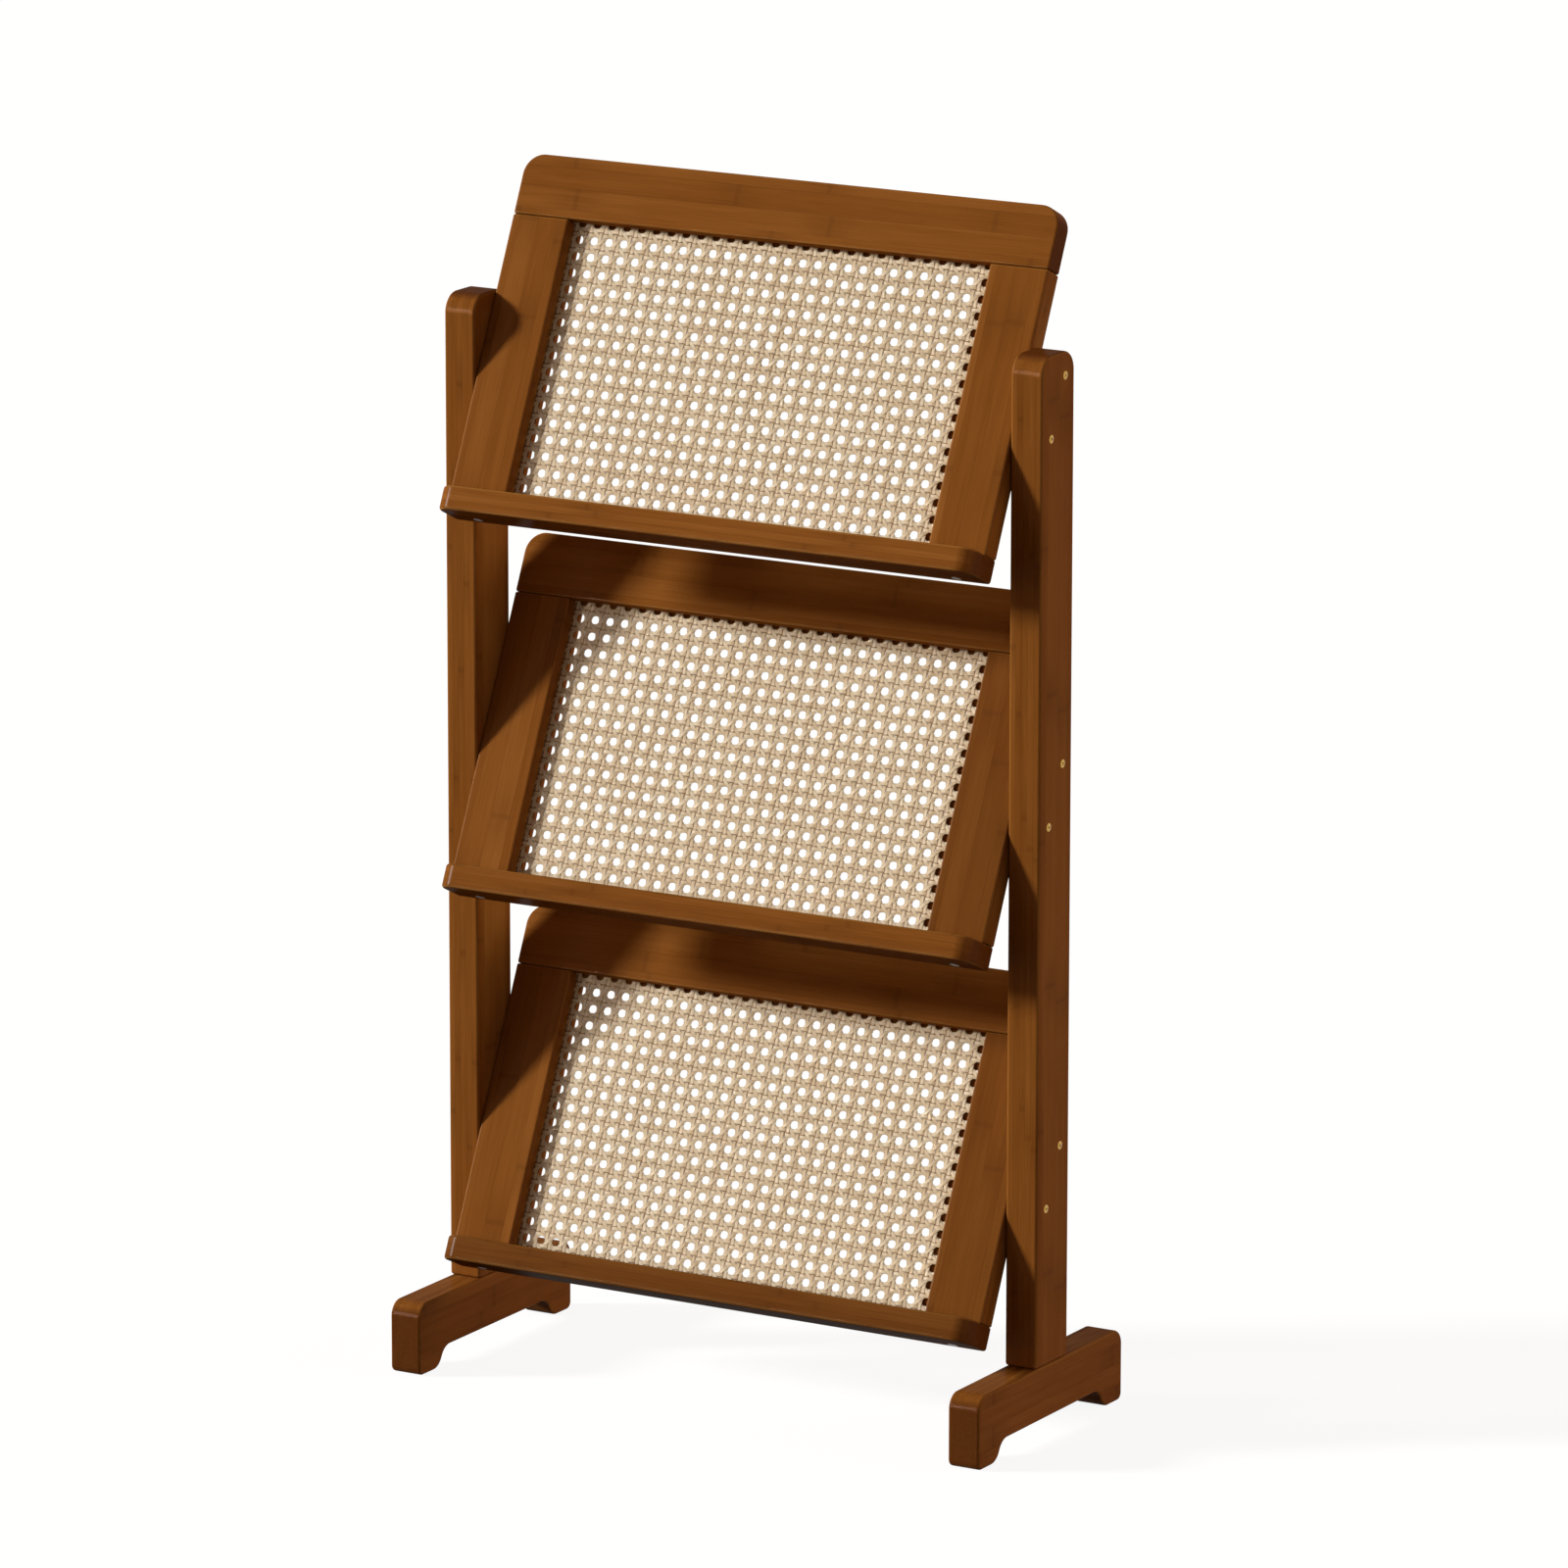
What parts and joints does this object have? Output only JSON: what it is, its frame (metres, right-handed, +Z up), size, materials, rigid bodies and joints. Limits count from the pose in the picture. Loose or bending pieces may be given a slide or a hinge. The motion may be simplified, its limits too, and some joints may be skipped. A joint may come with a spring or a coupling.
{
  "type": "magazine display rack",
  "caption": "Free-standing bamboo rack: two posts on arched feet hold tilted frames with cane panels and front ledges for magazines.",
  "frame": {"origin": "on the floor, midway between the two feet and midway along them", "axes": "+X to the viewer's right along the ledges, +Y to the back, +Z up; the tilted frames face -Y and lean back 25 degrees"},
  "size_m": [0.56, 0.24, 1.0013],
  "materials": {
    "stained_bamboo": "laminated bamboo, stained warm brown, satin lacquer",
    "natural_cane": "woven natural cane, unvarnished, octagonal mesh",
    "brass": "satin",
    "zinc_plated_steel": "satin",
    "birch_dowel": "plain turned birch"
  },
  "bodies": {
    "root": {"left_foot": "stained_bamboo", "right_foot": "stained_bamboo", "left_post": "stained_bamboo", "right_post": "stained_bamboo", "left_foot_screw_front": "zinc_plated_steel", "left_foot_screw_rear": "zinc_plated_steel", "right_foot_screw_front": "zinc_plated_steel", "right_foot_screw_rear": "zinc_plated_steel", "lower_top_rail": "stained_bamboo", "lower_left_stile": "stained_bamboo", "lower_right_stile": "stained_bamboo", "lower_ledge": "stained_bamboo", "lower_cane_panel": "natural_cane", "lower_top_batten": "stained_bamboo", "lower_bottom_batten": "stained_bamboo", "lower_left_batten": "stained_bamboo", "lower_right_batten": "stained_bamboo", "lower_left_screw_low": "brass", "lower_left_screw_high": "brass", "lower_right_screw_low": "brass", "lower_right_screw_high": "brass", "lower_left_ledge_screw": "zinc_plated_steel", "lower_right_ledge_screw": "zinc_plated_steel", "lower_left_dowel": "birch_dowel", "lower_right_dowel": "birch_dowel", "middle_top_rail": "stained_bamboo", "middle_left_stile": "stained_bamboo", "middle_right_stile": "stained_bamboo", "middle_ledge": "stained_bamboo", "middle_cane_panel": "natural_cane", "middle_top_batten": "stained_bamboo", "middle_bottom_batten": "stained_bamboo", "middle_left_batten": "stained_bamboo", "middle_right_batten": "stained_bamboo", "middle_left_screw_low": "brass", "middle_left_screw_high": "brass", "middle_right_screw_low": "brass", "middle_right_screw_high": "brass", "middle_left_ledge_screw": "zinc_plated_steel", "middle_right_ledge_screw": "zinc_plated_steel", "middle_left_dowel": "birch_dowel", "middle_right_dowel": "birch_dowel", "upper_top_rail": "stained_bamboo", "upper_left_stile": "stained_bamboo", "upper_right_stile": "stained_bamboo", "upper_ledge": "stained_bamboo", "upper_cane_panel": "natural_cane", "upper_top_batten": "stained_bamboo", "upper_bottom_batten": "stained_bamboo", "upper_left_batten": "stained_bamboo", "upper_right_batten": "stained_bamboo", "upper_left_screw_low": "brass", "upper_left_screw_high": "brass", "upper_right_screw_low": "brass", "upper_right_screw_high": "brass", "upper_left_ledge_screw": "zinc_plated_steel", "upper_right_ledge_screw": "zinc_plated_steel", "upper_left_dowel": "birch_dowel", "upper_right_dowel": "birch_dowel"}
  },
  "joints": []
}
